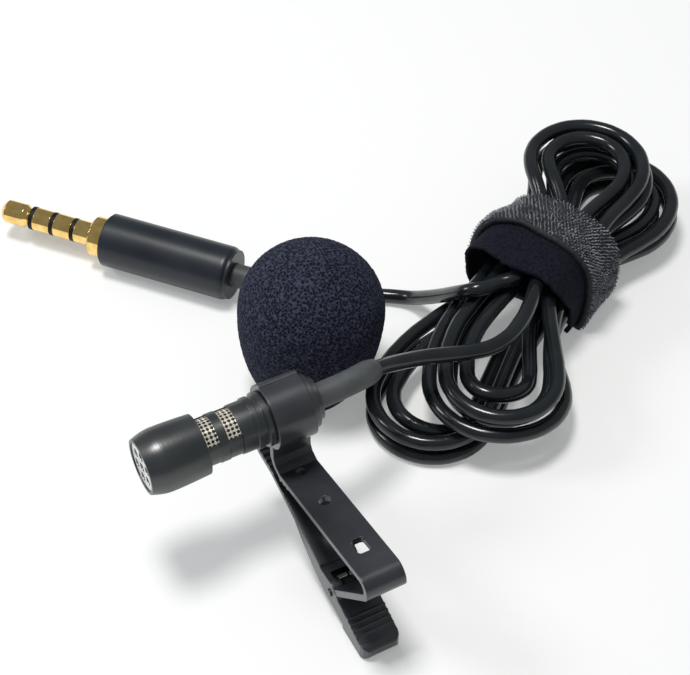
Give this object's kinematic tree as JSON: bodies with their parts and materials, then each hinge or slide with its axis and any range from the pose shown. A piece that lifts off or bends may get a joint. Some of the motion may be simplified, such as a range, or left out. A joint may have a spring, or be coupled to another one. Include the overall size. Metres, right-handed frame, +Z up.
{
  "type": "lavalier microphone",
  "caption": "Lavalier microphone on a metal tie clip with a torsion spring, with an egg-shaped foam windscreen and a thin cable tied in a hank that ends in a small audio plug",
  "frame": {"origin": "On the surface the part stands on, below the middle of the box round the microphone, clip and windscreen (the cable, its tie and the plug left out)", "axes": "+X runs along the microphone from its front face to its strain relief; the clip hangs on the -Y side and the windscreen stands on the +Y side; +Z is up"},
  "size_m": [0.0947, 0.0926, 0.024],
  "materials": {
    "black_metal": "satin black",
    "silver_mesh": "bright woven or punched steel",
    "capsule_metal": "plain",
    "board_green": "laminate",
    "lead_red": "plain",
    "rubber_black": "satin",
    "clip_metal": "satin charcoal",
    "spring_steel": "plain",
    "foam": "fine open-cell foam, dark blue-black",
    "cable_pvc": "glossy black",
    "tie_fabric": "hook-and-loop band",
    "plug_gold": "gold plated, mirror bright",
    "plug_insulator": "black rings",
    "housing_metal": "satin dark blue-grey"
  },
  "bodies": {
    "microphone": {"head_shell": "black_metal", "front_grille": "silver_mesh", "grille_gasket": "rubber_black", "capsule": "capsule_metal", "capsule_board": "board_green", "body_tube": "black_metal", "mesh_sleeve": "silver_mesh", "spacer_ring": "black_metal", "rear_collar": "black_metal", "lead_wires": "lead_red", "strain_relief": "rubber_black", "cable_mic_run": "cable_pvc", "cable_hank": "cable_pvc", "cable_plug_run": "cable_pvc", "cable_tie": "tie_fabric", "plug_tip": "plug_gold", "plug_ring_1": "plug_gold", "plug_ring_2": "plug_gold", "plug_sleeve": "plug_gold", "plug_insulators": "plug_insulator", "plug_core": "capsule_metal", "plug_housing": "housing_metal", "plug_strain_relief": "rubber_black"},
    "clip": {"clip_frame": "clip_metal"},
    "clip_lever": {"clip_lever": "clip_metal", "pivot_pin": "spring_steel", "torsion_spring": "spring_steel"},
    "windscreen": {"foam_windscreen": "foam"}
  },
  "joints": [
    {"name": "clip_swing", "type": "hinge", "parent": "microphone", "child": "clip", "pos_m": [-0.00179, -0.0005, 0.0191], "axis": [-1, 0, 0], "range_deg": [0, 110]},
    {"name": "lever_squeeze", "type": "hinge", "parent": "clip", "child": "clip_lever", "pos_m": [-0.00179, -0.0175, 0.0036], "axis": [-1, 0, 0], "range_deg": [0, 18], "stiffness_Nm_per_rad": 0.06, "springref_deg": -17.19, "deforming": ["torsion_spring"]},
    {"name": "windscreen_lift", "type": "slide", "parent": "microphone", "child": "windscreen", "axis": [0, 0, 1], "range_m": [0, 0.04]}
  ]
}
